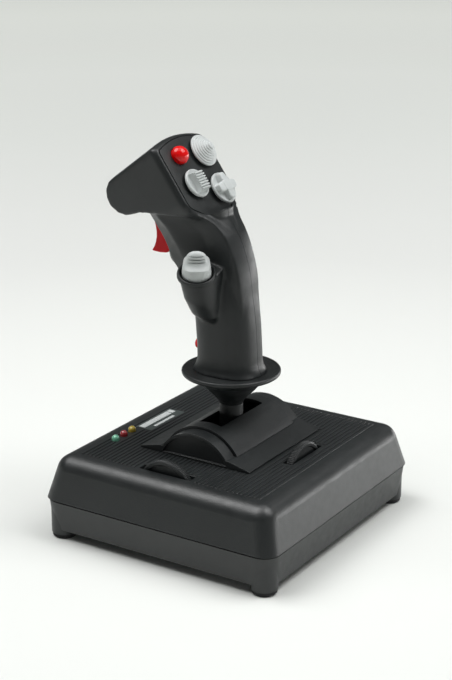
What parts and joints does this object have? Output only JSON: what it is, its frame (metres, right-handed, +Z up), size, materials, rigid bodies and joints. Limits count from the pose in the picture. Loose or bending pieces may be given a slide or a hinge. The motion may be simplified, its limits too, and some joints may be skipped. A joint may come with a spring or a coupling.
{
  "type": "flight joystick",
  "caption": "Two-axis sprung flight stick on a square base, with a leaning grip, trigger, thumb hats, button panel, round hand rest and trim wheels.",
  "frame": {"origin": "middle of the base's footprint on the table", "axes": "+Z up, +Y forward away from the pilot, +X to the pilot's right"},
  "size_m": [0.178, 0.168, 0.2456],
  "materials": {
    "shell_plastic": "satin black moulded plastic with a fine grain",
    "cover_plastic": "satin black moulded plastic, smoother than the base",
    "grip_plastic": "satin black moulded plastic with a soft sheen",
    "hat_plastic": "light grey moulded plastic",
    "button_red": "bright red glossy plastic",
    "trigger_red": "red satin plastic",
    "foot_rubber": "black rubber",
    "steel": "turned steel",
    "spring_steel": "spring wire",
    "frame_plastic": "dark structural plastic",
    "pot_housing": "moulded component housing",
    "circuit_board": "green solder resist",
    "plate_finish": "pale printed plate",
    "lamp_green_lens": "tinted epoxy lens",
    "lamp_red_lens": "tinted epoxy lens",
    "lamp_yellow_lens": "tinted epoxy lens"
  },
  "bodies": {
    "base": {"base_top_shell": "shell_plastic", "base_bottom_shell": "shell_plastic", "rubber_foot_1": "foot_rubber", "rubber_foot_2": "foot_rubber", "rubber_foot_3": "foot_rubber", "rubber_foot_4": "foot_rubber", "base_screws": "steel", "lamp_green": "lamp_green_lens", "lamp_red": "lamp_red_lens", "lamp_yellow": "lamp_yellow_lens", "lamp_board": "circuit_board", "name_plate": "plate_finish", "main_circuit_board": "circuit_board", "cable_grommet": "foot_rubber", "left_trim_ring": "frame_plastic", "left_trim_potentiometer": "pot_housing", "rear_trim_ring": "frame_plastic", "rear_trim_potentiometer": "pot_housing", "gimbal_bezel": "shell_plastic", "gimbal_bracket_left": "frame_plastic", "gimbal_bracket_right": "frame_plastic", "bracket_screws": "steel", "pitch_potentiometer": "pot_housing", "pitch_spring": "spring_steel"},
    "left_wheel": {"left_trim_wheel": "cover_plastic", "left_trim_spindle": "steel"},
    "rear_wheel": {"rear_trim_wheel": "cover_plastic", "rear_trim_spindle": "steel"},
    "pitch_carriage": {"pitch_cover": "cover_plastic", "pitch_frame": "frame_plastic", "pitch_pin_left": "steel", "pitch_pin_right": "steel", "roll_potentiometer": "pot_housing", "roll_spring": "spring_steel"},
    "stick": {"roll_axle": "steel", "stick_hub": "frame_plastic", "stick_shaft": "cover_plastic", "hand_rest": "cover_plastic", "grip_left_shell": "grip_plastic", "grip_right_shell": "grip_plastic", "grip_screws": "steel", "button_panel": "grip_plastic", "button_board": "circuit_board", "trigger_pin": "steel", "trigger_switch": "pot_housing", "trigger_spring": "spring_steel", "pinky_switch": "pot_housing"},
    "trigger_lever": {"trigger": "trigger_red"},
    "pinky_key": {"pinky_button": "button_red"},
    "red_key": {"red_button": "button_red"},
    "pov_rocker": {"pov_hat_rocker": "frame_plastic"},
    "pov_cap": {"pov_hat": "hat_plastic"},
    "castle_rocker": {"castle_hat_rocker": "frame_plastic"},
    "castle_cap": {"castle_hat": "hat_plastic"},
    "cross_rocker": {"cross_hat_rocker": "frame_plastic"},
    "cross_cap": {"cross_hat": "hat_plastic"},
    "thumb_rocker": {"thumb_hat_rocker": "frame_plastic"},
    "thumb_cap": {"thumb_hat": "hat_plastic"}
  },
  "joints": [
    {"name": "pitch", "type": "hinge", "parent": "base", "child": "pitch_carriage", "pos_m": [0.0008, 0, 0.043], "axis": [1, 0, 0], "range_deg": [-20, 20], "stiffness_Nm_per_rad": 2.2},
    {"name": "roll", "type": "hinge", "parent": "pitch_carriage", "child": "stick", "pos_m": [0.0008, 0, 0.043], "axis": [0, 1, 0], "range_deg": [-20, 20], "stiffness_Nm_per_rad": 2.2},
    {"name": "left_trim_turn", "type": "hinge", "parent": "base", "child": "left_wheel", "pos_m": [-0.0665, 0.0032, 0.042], "axis": [1, 0, 0], "range_deg": [-130, 130]},
    {"name": "rear_trim_turn", "type": "hinge", "parent": "base", "child": "rear_wheel", "pos_m": [0.0023, -0.0515, 0.042], "axis": [0, 1, 0], "range_deg": [-130, 130]},
    {"name": "trigger_pull", "type": "hinge", "parent": "stick", "child": "trigger_lever", "pos_m": [0.0008, 0.0465, 0.188], "axis": [-1, 0, 0], "range_deg": [0, 12], "stiffness_Nm_per_rad": 0.12, "springref_deg": -2.86, "deforming": ["trigger_spring"]},
    {"name": "pinky_press", "type": "slide", "parent": "stick", "child": "pinky_key", "axis": [0, -1, 0], "range_m": [0, 0.0015], "stiffness_N_per_m": 600, "springref_m": -0.0004},
    {"name": "red_press", "type": "slide", "parent": "stick", "child": "red_key", "axis": [0, 0.8161, -0.5779], "range_m": [0, 0.0015], "stiffness_N_per_m": 600, "springref_m": -0.0004},
    {"name": "pov_tilt_up", "type": "hinge", "parent": "stick", "child": "pov_rocker", "pos_m": [0.0143, 0.03501, 0.23059], "axis": [1, 0, 0], "range_deg": [-5, 5], "stiffness_Nm_per_rad": 0.05},
    {"name": "pov_tilt_side", "type": "hinge", "parent": "pov_rocker", "child": "pov_cap", "pos_m": [0.0143, 0.03501, 0.23059], "axis": [0, 0.5779, 0.8161], "range_deg": [-5, 5], "stiffness_Nm_per_rad": 0.05},
    {"name": "castle_tilt_up", "type": "hinge", "parent": "stick", "child": "castle_rocker", "pos_m": [-0.0093, 0.02461, 0.2159], "axis": [1, 0, 0], "range_deg": [-5, 5], "stiffness_Nm_per_rad": 0.05},
    {"name": "castle_tilt_side", "type": "hinge", "parent": "castle_rocker", "child": "castle_cap", "pos_m": [-0.0093, 0.02461, 0.2159], "axis": [0, 0.5779, 0.8161], "range_deg": [-5, 5], "stiffness_Nm_per_rad": 0.05},
    {"name": "cross_tilt_up", "type": "hinge", "parent": "stick", "child": "cross_rocker", "pos_m": [0.0129, 0.01981, 0.20913], "axis": [1, 0, 0], "range_deg": [-5, 5], "stiffness_Nm_per_rad": 0.05},
    {"name": "cross_tilt_side", "type": "hinge", "parent": "cross_rocker", "child": "cross_cap", "pos_m": [0.0129, 0.01981, 0.20913], "axis": [0, 0.5779, 0.8161], "range_deg": [-5, 5], "stiffness_Nm_per_rad": 0.05},
    {"name": "thumb_tilt_up", "type": "hinge", "parent": "stick", "child": "thumb_rocker", "pos_m": [-0.02294, 0.00991, 0.16302], "axis": [0.9385, -0.0393, 0.343], "range_deg": [-5, 5], "stiffness_Nm_per_rad": 0.05},
    {"name": "thumb_tilt_side", "type": "hinge", "parent": "thumb_rocker", "child": "thumb_cap", "pos_m": [-0.02294, 0.00991, 0.16302], "axis": [-0.0393, 0.9749, 0.219], "range_deg": [-5, 5], "stiffness_Nm_per_rad": 0.05}
  ]
}
